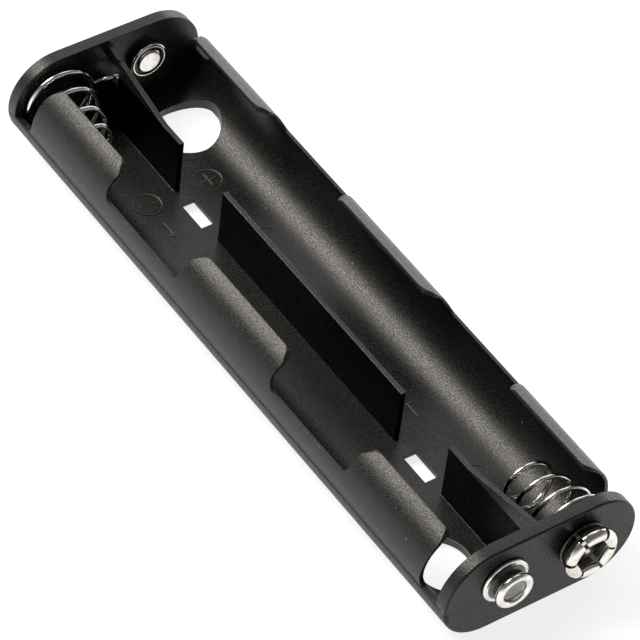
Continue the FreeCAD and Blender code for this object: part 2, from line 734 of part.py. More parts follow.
def write_parts(parts):
    """Check the whole document, then write one file for each sub-part."""
    doc.recompute()
    for thing in doc.Objects:
        if {"Invalid", "Error"} & set(thing.State):
            raise RuntimeError(f"{thing.Name} failed: {thing.State}")
    os.makedirs("parts", exist_ok=True)
    for part in parts:
        shape = part.Shape
        if shape.isNull() or not shape.isValid():
            raise RuntimeError(f"{part.Label} has no valid shape")
        shape.exportStep(f"parts/{part.Label}.step")
        print(part.Label, len(shape.Solids), round(shape.Volume, 1), shape.BoundBox)


half_pitch = "terminal_pitch / 2"
write_parts(
    [
        make_housing(),
        make_positive_snap(),
        make_rivet("positive_rivet", f"-{half_pitch}", "0", "rivet_head_height", "stud_floor"),
        make_negative_snap(),
        make_rivet("negative_rivet", half_pitch, WIRE_SEAT, "clamp_head_height", "socket_floor"),
        make_negative_spring(),
        make_positive_contact(),
        make_bridge_spring(),
    ]
)
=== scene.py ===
import math

import bmesh
import bpy
from mathutils import Matrix, Vector


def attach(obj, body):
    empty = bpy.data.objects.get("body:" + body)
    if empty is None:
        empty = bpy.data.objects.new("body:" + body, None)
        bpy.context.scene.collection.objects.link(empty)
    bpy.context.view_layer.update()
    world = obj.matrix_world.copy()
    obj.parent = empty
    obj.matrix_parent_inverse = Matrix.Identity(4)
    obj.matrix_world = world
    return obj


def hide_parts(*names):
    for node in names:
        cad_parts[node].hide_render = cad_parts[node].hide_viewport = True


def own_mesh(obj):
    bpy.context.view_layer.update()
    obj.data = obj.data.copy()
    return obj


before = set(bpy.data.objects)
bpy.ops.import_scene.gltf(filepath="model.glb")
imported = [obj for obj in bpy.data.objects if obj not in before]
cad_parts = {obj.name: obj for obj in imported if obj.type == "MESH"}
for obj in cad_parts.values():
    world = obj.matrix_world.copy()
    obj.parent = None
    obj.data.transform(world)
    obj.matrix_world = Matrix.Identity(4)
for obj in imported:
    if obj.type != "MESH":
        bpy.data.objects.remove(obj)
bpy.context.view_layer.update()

MM = 0.001

# The part's sizes in millimetres, most of them as in the solids. X runs across the tray, Y
# along it and Z up from its underside.
HALF_WIDTH, HALF_LENGTH, HEIGHT = 15.8, 54.6, 15.1
PLATE_INSIDE, PLATE_MIDDLE = 52.55, 53.575
TERMINAL_X, TERMINAL_Z = 6.35, 9.0
END_ROUND = 7.55
CORNER_X = HALF_WIDTH - END_ROUND
PARTING = 6.9
PARTING_TURN = math.degrees(math.acos((END_ROUND - PARTING) / END_ROUND))
OUTER_WALL = 15.7
CHANNEL_X, CHANNEL_Z = 7.7, 8.6
LIP_CENTRE, LIP_RADIUS, LIP_ANGLE = 7.9, 7.2, 68
LIP_TOP = 14.576
LOW_WALL = 10.2
DIVIDER_FOOT, DIVIDER_TOP, DIVIDER_HALF = 0.65, 10.8, 0.4
MARK_FOOT, MARK_TOP = 0.9, 1.5
WIRE_RADIUS = 0.4


# Materials
class Socket:
    """A shader socket that can be used in sums and products."""

    def __init__(self, shader, output):
        self.shader, self.output = shader, output

    def _math(self, operation, *values):
        settings = {"operation": operation}
        return self.shader.node("ShaderNodeMath", settings, dict(enumerate(values)))

    def __add__(self, other):
        return self._math("ADD", self, other)

    __radd__ = __add__

    def __sub__(self, other):
        return self._math("SUBTRACT", self, other)

    def __rsub__(self, other):
        return self._math("SUBTRACT", other, self)

    def __mul__(self, other):
        return self._math("MULTIPLY", self, other)

    __rmul__ = __mul__

    def __abs__(self):
        return self._math("ABSOLUTE", self)

    def __pow__(self, other):
        return self._math("POWER", self, other)


class Shader:
    """A material with a Principled shader and short ways to add nodes."""

    def __init__(self, name, **values):
        self.material = bpy.data.materials.new(name)
        self.material.use_nodes = True
        self.tree = self.material.node_tree
        self.surface = self.tree.nodes["Principled BSDF"]
        coords = self.tree.nodes.new("ShaderNodeTexCoord")
        self.place = Socket(self, coords.outputs["Object"])
        self.feed(**values)

    def node(self, kind, settings, sockets, out=0):
        """Add a node: its settings first, then its sockets, by name or by number."""
        made = self.tree.nodes.new(kind)
        for name, value in settings.items():
            setattr(made, name, value)
        for key, value in sockets.items():
            self.link(made.inputs[key], value)
        return Socket(self, made.outputs[out])

    def link(self, target, value):
        """Feed a socket from another one, or set it to a number or a colour."""
        if isinstance(value, Socket):
            self.tree.links.new(value.output, target)
        elif isinstance(value, tuple):
            target.default_value = (*value, 1)
        else:
            target.default_value = value

    def feed(self, **values):
        """Feed or set sockets of the Principled shader."""
        for name, value in values.items():
            self.link(self.surface.inputs[name.replace("_", " ")], value)

    def axes(self):
        split = self.node("ShaderNodeSeparateXYZ", {}, {0: self.place})
        return [Socket(self, output) for output in split.output.node.outputs]

    def noise(self, scale, detail, roughness=0.5):
        sockets = {
            "Vector": self.place, "Scale": scale, "Detail": detail, "Roughness": roughness,
        }
        return self.node("ShaderNodeTexNoise", {}, sockets)

    def step(self, value, low, high):
        """0 at low and 1 at high, smooth between. Low may be the larger one."""
        settings = {"interpolation_type": "SMOOTHSTEP"}
        return self.node("ShaderNodeMapRange", settings, {0: value, 1: low, 2: high})

    def edge(self, length, outside, inside):
        """0 at one length and 1 at the other, in millimetres."""
        return self.step(length, outside * MM, inside * MM)

    def band(self, length, low, high, blur):
        """1 between two lengths and 0 beyond them, in millimetres, smooth over a blur."""
        return self.edge(length, low, low + blur) * self.edge(length, high, high - blur)

    def blend(self, share, first, second):
        """A colour between two, by a share."""
        sockets = {"Factor": share, 6: first, 7: second}
        return self.node("ShaderNodeMix", {"data_type": "RGBA"}, sockets, out=2)

    def bump(self, height, strength, distance):
        sockets = {"Strength": strength, "Distance": distance, "Height": height}
        return self.node("ShaderNodeBump", {}, sockets)


def moulded_black():
    """Charcoal plastic: sandy all over, with painted shade on the dividers' sides and in the
    seam, a painted bluish reflection on the end plates, and a painted glint on the edges of
    the raised and sunk marks."""
    shader = Shader("moulded_black", IOR=1.5, Specular_IOR_Level=0.5)
    x, y, z = shader.axes()
    across, along = abs(x), abs(y)

    grain = shader.noise(5600.0, 1.0, 0.8)
    speckle = shader.step(shader.noise(6600.0, 0.0), 0.38, 0.64)
    patches = shader.noise(160.0, 3.0, 0.6)
    specks = shader.step(shader.noise(1700.0, 0.0), 0.865, 0.885)

    divider = (
        shader.edge(across, 0.56, 0.50)
        * shader.edge(z, 1.31, 1.33)
        * shader.edge(along, 52.6, 52.4)
    )
    sides = divider * shader.edge(z, 10.8, 10.6)
    plate = shader.edge(along, 52.4, 52.6)
    outer_face = shader.edge(along, 54.4, 54.5)
    underside = shader.edge(z, 7.2, 6.6) * shader.edge(across, 14.8, 15.2)
    raised = shader.band(z, 1.32, 1.49, 0.02)
    sunk = shader.band(z, 1.21, 1.29, 0.02)
    in_channel = shader.band(across, 2.4, 7.8, 0.2) * shader.edge(along, 50.0, 49.8)
    glint_edges = (raised + sunk) * in_channel
    seam = (
        shader.band(z, 6.88, 7.14, 0.06)
        * shader.edge(across, 15.4, 15.5)
        * shader.edge(along, 53.7, 53.5)
    )

    colour = shader.blend(patches, (0.0036, 0.0035, 0.0033), (0.0068, 0.0065, 0.0060))
    colour = shader.blend(speckle, colour, (0.0170, 0.0162, 0.0150))
    # Painted reflection: a cool bluish tint on the end plates of the same black plastic.
    colour = shader.blend(plate * 0.7, colour, (0.0040, 0.0044, 0.0056))
    # Painted glint: a pale colour on the raised and sunk marks' edges.
    colour = shader.blend(glint_edges, colour, (0.36, 0.35, 0.32))
    colour = shader.blend(specks * 0.5, colour, (0.30, 0.29, 0.27))
    # Painted shade: near black in the seam's groove and on the dividers' sides.
    colour = shader.blend(seam + 0.9 * sides, colour, (0.0004, 0.0004, 0.0004))
    dullness = 0.23 + 0.06 * patches + 0.22 * speckle + 0.14 * underside + 0.20 * sides
    shader.feed(
        Base_Color=colour,
        Roughness=dullness - 0.14 * glint_edges + 0.50 * seam,
        Metallic=sides + 0.40 * outer_face + 0.35 * underside,
        Normal=shader.bump(grain, 0.42, 0.00008),
    )
    return shader.material


def nickel(name, roughness, tint, axis_x=0.0, base=0.0, shaded_rings=()):
    """Bright nickel plating with a faint grain, a little wear and painted shade in hollows.

    A shaded ring is a ring about the piece's own axis where shade is painted into the
    colour and the finish is rougher and pitted: its inner and outer radius, its lowest
    and highest distance from the plate at base, in millimetres, and how strong it is.
    """
    shader = Shader(name, Metallic=1.0)
    wear = shader.noise(900.0, 4.0, 0.6)
    fine = shader.noise(5200.0, 2.0)
    worn = tuple(0.72 * part for part in tint)
    colour = shader.blend(shader.step(wear, 0.45, 0.75), tint, worn)
    finish = roughness + 0.10 * wear + 0.05 * fine
    height = fine
    if shaded_rings:
        blur, top_blur = 0.06, 0.10
        x, y, z = shader.axes()
        across, up = (x - axis_x * MM) * (1 / MM), (z - TERMINAL_Z * MM) * (1 / MM)
        radius = (across * across + up * up) ** 0.5
        off_plate = abs(abs(y) * (1 / MM) - base)
        shade = 0.0
        # Each ring paints shade into the colour and roughens the finish; dullness is how
        # strong both are.
        for inner, outer, low, high, dullness in shaded_rings:
            ring = shader.step(radius, inner - blur, inner + blur)
            ring = ring * shader.step(radius, outer + blur, outer - blur)
            depth = shader.step(off_plate, low - blur, low + blur)
            depth = depth * shader.step(off_plate, high + top_blur, high - top_blur)
            shade = dullness * ring * depth + shade
        pits = shader.noise(7000.0, 1.0)
        speckle = shader.step(pits, 0.35, 0.65)
        # Painted shade: near black with paler grains, blended into the colour over the rings.
        painted_shade_colour = shader.blend(speckle, (0.006, 0.006, 0.005), (0.10, 0.095, 0.085))
        colour = shader.blend(shade, colour, painted_shade_colour)
        finish = finish + 0.25 * shade
        height = fine + 1.5 * shade * pits
    bump = shader.bump(height, 0.12, 0.00002)
    shader.feed(Base_Color=colour, Roughness=finish, Normal=bump)
    return shader.material


# Modelling
def active(obj):
    bpy.ops.object.select_all(action="DESELECT")
    obj.select_set(True)
    bpy.context.view_layer.objects.active = obj


def apply_all(obj):
    active(obj)
    for modifier in list(obj.modifiers):
        bpy.ops.object.modifier_apply(modifier=modifier.name)


def settle(obj, name, material, slot, body, *replaced):
    """Name a finished piece, place it in its mesh and attach it to its body, hiding what it
    replaces.
    """
    active(obj)
    bpy.ops.object.transform_apply(location=True, rotation=True, scale=True)
    obj.name = name
    obj.data.name = name
    obj.data.materials.clear()
    obj.data.materials.append(material)
    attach(obj, body)
    if replaced:
        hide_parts(*replaced)
    return obj


def trace(outline, step=4.0):
    """Draw an outline in millimetres in a new object's XY plane and stay in edit mode.

    The first entry is where it starts. After it, (x, y) is a straight run to a place, and
    (x, y, degrees) an arc about a centre, with a minus sign when it turns right. Step is
    the turn of an arc's pieces, in degrees.
    """
    bpy.ops.object.select_all(action="DESELECT")
    bpy.ops.mesh.primitive_plane_add(size=MM)
    obj = bpy.context.object
    bpy.ops.object.mode_set(mode="EDIT")
    bpy.ops.mesh.select_mode(type="VERT")
    bpy.ops.mesh.merge(type="CENTER")
    here = Vector((*outline[0], 0))
    bpy.ops.transform.translate(value=here * MM)
    for x, y, *turn in outline[1:]:
        there = Vector((x, y, 0))
        if turn:
            steps = max(3, round(abs(turn[0]) / step))
            angle = math.radians(turn[0])
            bpy.ops.mesh.spin(steps=steps, angle=angle, center=there * MM, axis=(0, 0, -1))
            here = there + Matrix.Rotation(angle, 3, "Z") @ (here - there)
        else:
            move = {"value": (there - here) * MM}
            bpy.ops.mesh.extrude_vertices_move(TRANSFORM_OT_translate=move)
            here = there
    bpy.ops.mesh.select_all(action="SELECT")
    bpy.ops.mesh.remove_doubles(threshold=1e-6)
    return obj


# How an outline's own axes lie in the object: the third one is the direction of extrusion.
PLAN = Matrix.Identity(4)
SIDE_VIEW = Matrix(((0, 0, 1, 0), (1, 0, 0, 0), (0, 1, 0, 0), (0, 0, 0, 1)))
END_VIEW = Matrix(((1, 0, 0, 0), (0, 0, -1, 0), (0, 1, 0, 0), (0, 0, 0, 1)))


def solid(outline, view, low, high, step=4.0):
    """An outline extruded from low to high, in millimetres, across one of the views."""
    obj = trace(outline, step)
    bpy.ops.mesh.edge_face_add()
    bpy.ops.mesh.select_all(action="SELECT")
    bpy.ops.transform.translate(value=(0, 0, low * MM))
    move = {"value": (0, 0, (high - low) * MM)}
    bpy.ops.mesh.extrude_region_move(TRANSFORM_OT_translate=move)
    bpy.ops.mesh.select_all(action="SELECT")
    bpy.ops.mesh.normals_make_consistent(inside=False)
    bpy.ops.object.mode_set(mode="OBJECT")
    obj.matrix_world = view
    active(obj)
    bpy.ops.object.transform_apply(location=True, rotation=True, scale=True)
    for vertex in obj.data.vertices:
        vertex.co = [round(c, 7) for c in vertex.co]
    return obj


def box(left, bottom, right, top):
    return [(left, bottom), (right, bottom), (right, top), (left, top)]


def disc(x, y, radius):
    return [(x + radius, y), (x, y, 360)]


def mirrored(outline):
    """The same outline on the other side of its second axis, run the other way."""
    places, centres = [Vector((*outline[0], 0))], [None]
    for x, y, *turn in outline[1:]:
        there = Vector((x, y, 0))
        if turn:
            arm = Matrix.Rotation(math.radians(turn[0]), 3, "Z") @ (places[-1] - there)
            centres.append((x, y, turn[0]))
            places.append(there + arm)
        else:
            centres.append(None)
            places.append(there)
    other = [(-places[-1].x, places[-1].y)]
    for place, centre in zip(places[-2::-1], centres[:0:-1]):
        if centre:
            other.append((-centre[0], centre[1], centre[2]))
        else:
            other.append((-place.x, place.y))
    return other


def join(pieces):
    """Make one object of several, the first of which stays."""
    active(pieces[0])
    for obj in pieces:
        obj.select_set(True)
    bpy.ops.object.join()
    return bpy.context.object


def work(obj, operation, tools):
    """Cut tools out of a piece with DIFFERENCE, or weld them on with UNION."""
    for tool in tools:
        active(obj)
        boolean = obj.modifiers.new("work", "BOOLEAN")
        boolean.operation = operation
        boolean.solver = "EXACT"
        boolean.object = tool
        bpy.ops.object.modifier_apply(modifier=boolean.name)
        bpy.data.objects.remove(tool)


def divide(obj, along_x, along_y):
    """Run clean edges all round a piece at places on X and Y, in millimetres."""
    active(obj)
    bpy.ops.object.mode_set(mode="EDIT")
    for places, normal in ((along_x, (1, 0, 0)), (along_y, (0, 1, 0))):
        for place in places:
            bpy.ops.mesh.select_all(action="SELECT")
            bpy.ops.mesh.bisect(plane_co=Vector(normal) * place * MM, plane_no=normal)
    bpy.ops.object.mode_set(mode="OBJECT")


def soften(obj, width, segments, angle):
    """Round all the edges that are sharper than an angle in degrees."""
    active(obj)
    bpy.ops.object.mode_set(mode="EDIT")
    bpy.ops.mesh.select_all(action="SELECT")
    bpy.ops.mesh.remove_doubles(threshold=0.02 * MM)
    bpy.ops.mesh.dissolve_degenerate(threshold=0.01 * MM)
    bpy.ops.object.mode_set(mode="OBJECT")
    bpy.ops.object.shade_smooth()
    bevel = obj.modifiers.new("edges", "BEVEL")
    bevel.width = width * MM
    bevel.segments = segments
    bevel.limit_method = "ANGLE"
    bevel.angle_limit = math.radians(angle)
    bevel.use_clamp_overlap = False
    bevel.harden_normals = True
    apply_all(obj)


def close_up(smooth_angle):
    """Merge what meets in a spun or swept mesh, turn its faces outwards and smooth it."""
    bpy.ops.mesh.select_all(action="SELECT")
    bpy.ops.mesh.remove_doubles(threshold=1e-6)
    bpy.ops.mesh.normals_make_consistent(inside=False)
    bpy.ops.object.mode_set(mode="OBJECT")
    bpy.ops.object.shade_smooth_by_angle(angle=math.radians(smooth_angle))


def turned(profile, smooth_angle=40):
    """A profile (radius, height) in millimetres spun about +Y through the origin."""
    obj = trace(profile)
    bpy.ops.mesh.spin(steps=72, angle=2 * math.pi, center=(0, 0, 0), axis=(0, 1, 0))
    close_up(smooth_angle)
    return obj


def wire(points):
    """Round wire along a smooth line through points in millimetres, with closed ends."""
    curve = bpy.data.curves.new("wire", "CURVE")
    curve.dimensions = "3D"
    curve.bevel_depth = WIRE_RADIUS * MM
    curve.bevel_resolution = 3
    curve.use_fill_caps = True
    curve.resolution_u = 2
    spline = curve.splines.new("NURBS")
    spline.points.add(len(points) - 1)
    for point, place in zip(spline.points, points):
        point.co = (*(Vector(place) * MM), 1)
    spline.order_u = 4
    spline.use_endpoint_u = True
    obj = bpy.data.objects.new("wire", curve)
    bpy.context.collection.objects.link(obj)
    active(obj)
    bpy.ops.object.convert(target="MESH")
    bpy.ops.object.mode_set(mode="EDIT")
    close_up(50)
    return bpy.context.object


# The tray. Outlines run in (x, z) across it, (y, z) along it and (x, y) on its floor.
def make_section():
    """The tray's section: underside, side walls with the seam's groove, lips, channels."""
    lip_end = (10.991, 14.066)
    hollow_x = 9.269
    fold = math.degrees(math.atan2(lip_end[1] - CHANNEL_Z, lip_end[0] - hollow_x))
    groove_depth, groove_half, ledge = 0.11, 0.13, 0.04
    half = [
        (CORNER_X, 0),
        (CORNER_X, END_ROUND, PARTING_TURN),
        (HALF_WIDTH - groove_depth, PARTING + groove_half),
        (HALF_WIDTH - ledge, PARTING + 2 * groove_half),
        (OUTER_WALL, PARTING + 0.6),
        (OUTER_WALL, LIP_CENTRE),
        (OUTER_WALL - LIP_RADIUS, LIP_CENTRE, LIP_ANGLE),
        lip_end,
        (hollow_x, CHANNEL_Z, -fold),
        (CHANNEL_X, CHANNEL_Z, -90),
    ]
    return half + mirrored(half)


def lip_gap():
    """The gap between the middle and the end lips, with the lips' curved corners."""
    above = HEIGHT + 1
    start, end, foot = 11.3, 30.0, 1.7
    reach, wide_round, tight_round, tight_drop = 2.6, 3.65, 0.713, 1.401
    return [
        (start - reach, above),
        (start - reach, LIP_TOP),
        (start - reach, LIP_TOP - wide_round, -40),
        (start - tight_round, LIP_TOP - tight_drop, -50),
        (start, LOW_WALL + foot),
        (start + foot, LOW_WALL + foot, 90),
        (end - foot, LOW_WALL),
        (end - foot, LOW_WALL + foot, 90),
        (end, LIP_TOP - tight_drop),
        (end + tight_round, LIP_TOP - tight_drop, -50),
        (end + reach, LIP_TOP - wide_round, -40),
        (end + reach, above),
    ]


def plate_gap():
    """The gap between an end lip and its plate."""
    above = HEIGHT + 1
    lip_end, lip_round = 46.6, 1.8
    floor, foot = 7.2, 1.2
    wall = lip_end + lip_round
    return [
        (lip_end, above),
        (lip_end, LIP_TOP),
        (lip_end, LIP_TOP - lip_round, -90),
        (wall, floor + foot),
        (wall + foot, floor + foot, 90),
        (PLATE_MIDDLE, floor),
        (PLATE_MIDDLE, above),
    ]


def both_ways(outline):
    return [outline, mirrored(outline)]


def make_plate(low, high):
    """An end plate with round sides, its outer face's edge softened."""
    outline = [
        (-CORNER_X, 0),
        (CORNER_X, 0),
        (CORNER_X, END_ROUND, PARTING_TURN),
        (CORNER_X, END_ROUND, 180 - PARTING_TURN),
        (-CORNER_X, HEIGHT),
        (-CORNER_X, END_ROUND, 180 - PARTING_TURN),
        (-CORNER_X, END_ROUND, PARTING_TURN),
    ]
    plate = solid(outline, END_VIEW, low, high)
    bpy.ops.object.mode_set(mode="EDIT")
    bpy.ops.mesh.select_all(action="DESELECT")
    bpy.ops.object.mode_set(mode="OBJECT")
    for edge in plate.data.edges:
        ends = [plate.data.vertices[i].co.y for i in edge.vertices]
        edge.select = all(abs(abs(y) - HALF_LENGTH * MM) < 1e-6 for y in ends)
    bpy.ops.object.mode_set(mode="EDIT")
    bpy.ops.mesh.select_mode(type="EDGE")
    bpy.ops.mesh.bevel(offset=0.35 * MM, segments=3)
    bpy.ops.object.mode_set(mode="OBJECT")
    return plate


def make_dividers():
    """The low wall along the middle, which rises to the plates and has the wire's window."""
    start, ramp = 33.15, 37.5
    slope = 3.3 / (PLATE_INSIDE - ramp)
    window, window_floor = 49.35, 7.5
    tab, tab_foot = 49.7, 12.0

    def top(y):
        return (y, DIVIDER_TOP + slope * (y - ramp))

    near = [
        (start, DIVIDER_FOOT),
        (PLATE_MIDDLE, DIVIDER_FOOT),
        top(PLATE_MIDDLE),
        (ramp, DIVIDER_TOP),
        (start, DIVIDER_TOP),
    ]
    far = [
        (start, DIVIDER_FOOT),
        (PLATE_MIDDLE, DIVIDER_FOOT),
        (PLATE_MIDDLE, window_floor),
        (window, window_floor),
        top(window),
        (ramp, DIVIDER_TOP),
        (start, DIVIDER_TOP),
    ]
    over_window = [(tab, tab_foot), (PLATE_MIDDLE, tab_foot), top(PLATE_MIDDLE), top(tab)]
    middle = box(-22.1, DIVIDER_FOOT, 22.1, DIVIDER_TOP)
    outlines = [middle, mirrored(near), far, over_window]
    return [solid(o, SIDE_VIEW, -DIVIDER_HALF, DIVIDER_HALF) for o in outlines]


def cut_openings(housing):
    """Cut the slots on the divider's line, the holes in the floors and the rivets' holes.

    The housing first gets edges along the slots and their reliefs, so that the cuts follow
    edges that are there.
    """
    place = 27.8
    slot_x, slot_y, slot_top = 1.05, 2.6, 3
    relief_x, relief_y, relief_top = 2.05, 3.6, 0.7
    hole_x, hole_y, hole_radius, hole_top = 8.2, 43.2, 4.95, 6
    rivet_radius = 1.3
    reaches = (-relief_y, -slot_y, slot_y, relief_y)
    ends = [side * (place + reach) for side in (-1, 1) for reach in reaches]
    divide(housing, (-relief_x, -slot_x, slot_x, relief_x), ends)
    tools = []
    for side in (-1, 1):
        middle = side * place
        relief = box(-relief_x, middle - relief_y, relief_x, middle + relief_y)
        slot = box(-slot_x, middle - slot_y, slot_x, middle + slot_y)
        tools.append(solid(relief, PLAN, -1, relief_top))
        tools.append(solid(slot, PLAN, -1, slot_top))
        hole = disc(side * hole_x, side * hole_y, hole_radius)
        tools.append(solid(hole, PLAN, -1, hole_top))
        near_rivet = disc(side * TERMINAL_X, TERMINAL_Z, rivet_radius)
        tools.append(solid(near_rivet, END_VIEW, 50, 56, 10))
    far_rivet = disc(TERMINAL_X, TERMINAL_Z, rivet_radius)
    tools.append(solid(far_rivet, END_VIEW, -56, -50, 10))
    work(housing, "DIFFERENCE", tools)


def make_marks():
    """The raised marks on the floor: ringed minus, ringed plus and two arrows."""
    across, along = 5.2, 32.9
    outer, inner = 2.25, 1.9
    bar, stroke = 1.3, 0.175
    marks = []
    for side in (-1, 1):
        ring = solid(disc(side * across, along, outer), PLAN, MARK_FOOT, MARK_TOP, 8)
        hole = solid(disc(side * across, along, inner), PLAN, 0.5, 2, 8)
        work(ring, "DIFFERENCE", [hole])
        marks.append(ring)
    minus = box(-across - bar, along - stroke, -across + bar, along + stroke)
    plus = []
    arm = [(bar, stroke), (stroke, stroke), (stroke, bar)]
    for _ in range(4):
        plus += [(across + x, along + y) for x, y in arm]
        arm = [(-y, x) for x, y in arm]
    outlines = [minus, plus]
    for x, y, ahead in ((-across, 27.0, -1), (across, -18.3, 1)):
        point, neck, tail = y + ahead * 1.7, y + ahead * 0.9, y - ahead * 1.7
        head = 0.8
        outlines.append(
            [
                (x, point), (x - head, neck), (x - stroke, neck), (x - stroke, tail),
                (x + stroke, tail), (x + stroke, neck), (x + head, neck),
            ]
        )
    marks += [solid(outline, PLAN, MARK_FOOT, MARK_TOP) for outline in outlines]
    marks = join(marks)
    soften(marks, 0.12, 3, 30)
    return marks


def make_housing():
    """The moulded tray with its end plates, lips, dividers, openings and marks."""
    housing = solid(make_section(), END_VIEW, -PLATE_MIDDLE, PLATE_MIDDLE)
    gaps = both_ways(lip_gap()) + both_ways(plate_gap())
    work(housing, "DIFFERENCE", [solid(gap, SIDE_VIEW, -20, 20, 9) for gap in gaps])
    spans = ((-HALF_LENGTH, -PLATE_INSIDE), (PLATE_INSIDE, HALF_LENGTH))
    work(housing, "UNION", [make_plate(low, high) for low, high in spans])
    work(housing, "UNION", make_dividers())
    cut_openings(housing)
    soften(housing, 0.1, 2, 40)

    pin_radius, pin_floor = 1.25, 1.2
    pins = [disc(x, y, pin_radius) for x, y in ((4.5, 36.6), (6.4, 19.7), (6.4, -32.4))]
    work(housing, "DIFFERENCE", [solid(pin, PLAN, pin_floor, 2, 15) for pin in pins])
    work(housing, "UNION", [make_marks()])
    active(housing)
    bpy.ops.object.shade_smooth_by_angle(angle=math.radians(30))
    flats = housing.modifiers.new("flats", "WEIGHTED_NORMAL")
    flats.keep_sharp = True
    apply_all(housing)
    return housing


# Terminals, as profiles of radius and height above the plate that they stand on
def on_plate(obj, side, x, base):
    """Move a piece turned about +Y on to the far (1) or near (-1) plate, its foot at base."""
    turn = Matrix.Rotation(0 if side > 0 else math.pi, 4, "Z")
    place = Matrix.Translation(Vector((x, side * base, TERMINAL_Z)) * MM)
    obj.matrix_world = place @ turn
    return obj


def arc(centre, radius, start, stop, steps):
    """Points (radius, height) along an arc, angles in degrees from the radial direction."""
    points = []
    for i in range(steps + 1):
        a = math.radians(start + (stop - start) * i / steps)
        points.append((centre[0] + radius * math.cos(a), centre[1] + radius * math.sin(a)))
    return points


def make_stud():
    """The stud: a domed foot flange, a waisted neck and a rolled rim round a sunken face."""
    flange = [(0.0, 0.0), (3.45, 0.0)] + arc((3.42, 0.28), 0.28, -90, 100, 8)
    foot = [(3.0, 0.60), (2.75, 0.72), (2.5, 0.85)]
    neck = [(2.30, 1.02), (2.2, 1.3), (2.22, 1.62)]
    rim = arc((2.38, 2.25), 0.60, -120, 150, 14)
    face = [(1.84, 2.38), (1.80, 2.18), (1.68, 2.06), (1.4, 1.99), (0.7, 1.94), (0.0, 1.93)]
    return turned(flange + foot + neck + rim + face)


def make_contact():
    """The far contact: a rolled flange, a hollow slope and a flat polished button."""
    button = [(0.0, -1.47), (1.62, -1.45)] + arc((1.72, -1.30), 0.15, -90, 40, 6)
    slope = [(1.92, -1.12), (2.12, -1.02), (2.42, -1.0)]
    flange = arc((2.66, -0.92), 0.34, -120, 90, 12) + [(2.4, -0.66), (1.7, -0.92)]
    barrel = [(1.25, -0.92), (1.25, 2.05), (2.05, 2.05)]
    clinch = arc((2.05, 2.25), 0.2, -90, 90, 8)
    end = [(1.75, 2.42), (1.5, 2.24), (1.2, 2.14), (0.0, 2.12)]
    return turned(button + slope + flange + barrel + clinch + end)


PETALS = 6
PETAL_SHEET = 0.26
PETAL_SLIT = 8.5


def petal_section():
    """A petal's bent sheet, round its outer side and back along its inner one."""
    line = [(3.30, 0.35), (3.45, 0.7), (3.72, 1.2), (3.95, 1.65)]
    line += arc((3.28, 2.12), 0.82, -8, 118, 12)
    line += [(2.72, 2.74), (2.62, 2.52), (2.66, 2.28)]
    outer, inner = [], []
    for i, (r, h) in enumerate(line):
        before, after = line[max(0, i - 1)], line[min(len(line) - 1, i + 1)]
        along = Vector((after[0] - before[0], after[1] - before[1])).normalized()
        side = Vector((along.y, -along.x)) * PETAL_SHEET / 2
        outer.append((r + side.x, h + side.y))
        inner.append((r - side.x, h - side.y))
    return outer + inner[::-1]


def make_petal(index):
    """One spring petal: up from the flange, out, and curled in to a flatter tip."""
    section = petal_section()
    sector = math.radians(360 / PETALS)
    span = math.radians(360 / PETALS - PETAL_SLIT)
    steps = 10
    tip_start, tip_length, tip_swell = 3.1, 0.6, 1.06
    mesh = bmesh.new()
    rows = []
    for k in range(steps + 1):
        share = k / steps - 0.5
        angle = sector * (index + 0.5) + span * share
        straight = math.cos(math.pi / PETALS) / math.cos(sector * share) * tip_swell
        row = []
        for r, h in section:
            tip = min(1.0, max(0.0, (tip_start - r) / tip_length))
            reach = r * (1 + tip * (straight - 1)) * MM
            place = (reach * math.cos(angle), h * MM, reach * math.sin(angle))
            row.append(mesh.verts.new(place))
        rows.append(row)
    for low, high in zip(rows, rows[1:]):
        for i in range(len(section)):
            j = (i + 1) % len(section)
            mesh.faces.new((low[i], low[j], high[j], high[i]))
    mesh.faces.new(rows[0][::-1])
    mesh.faces.new(rows[-1])
    bmesh.ops.recalc_face_normals(mesh, faces=mesh.faces)
    data = bpy.data.meshes.new("petal")
    mesh.to_mesh(data)
    mesh.free()
    obj = bpy.data.objects.new("petal", data)
    bpy.context.collection.objects.link(obj)
    return obj


def make_socket():
    """The socket: a cup with six petals round a flat floor."""
    flange = [(0.0, 0.0), (3.5, 0.0)] + arc((3.45, 0.25), 0.25, -90, 90, 6)
    floor = [(3.45, 0.62), (3.32, 0.85), (3.14, 0.85), (3.0, 0.72), (1.9, 0.68), (0.0, 0.68)]
    cup = turned(flange + floor, smooth_angle=42)
    cup = join([cup] + [make_petal(i) for i in range(PETALS)])
    bpy.ops.object.shade_smooth_by_angle(angle=math.radians(42))
    return cup


# Coils, one row per station: turns from the plate, radius, depth from the plate, and the
# axis's place across and up. A wire starts on its coil's side at -X in its own frame.
NEAR_STATIONS = (
    (0.0, 5.10, 0.45, 8.50, 8.16),
    (0.5, 4.95, 0.95, 8.35, 8.15),
    (1.0, 4.45, 2.45, 8.12, 8.13),
    (2.0, 4.20, 4.98, 7.73, 8.10),
    (3.0, 3.60, 8.55, 7.33, 8.07),
    (3.7, 3.35, 10.9, 7.05, 8.05),
    (4.25, 3.40, 11.35, 6.90, 8.04),
)
FAR_STATIONS = (
    (0.0, 5.40, 0.45, 8.50, 8.24),
    (0.5, 5.50, 0.70, 8.55, 8.24),
    (1.0, 4.85, 1.80, 8.65, 8.24),
    (2.0, 4.12, 4.83, 8.80, 8.25),
    (3.0, 3.29, 8.31, 8.95, 8.25),
    (3.7, 2.75, 10.6, 9.05, 8.25),
    (4.25, 2.60, 11.25, 9.13, 8.25),
)


def station(stations, turn):
    """Radius, depth and axis at a turn, straight between the stations."""
    for low, high in zip(stations, stations[1:]):
        if turn <= high[0]:
            break
    share = (turn - low[0]) / (high[0] - low[0])
    return [a + (b - a) * share for a, b in zip(low[1:], high[1:])]


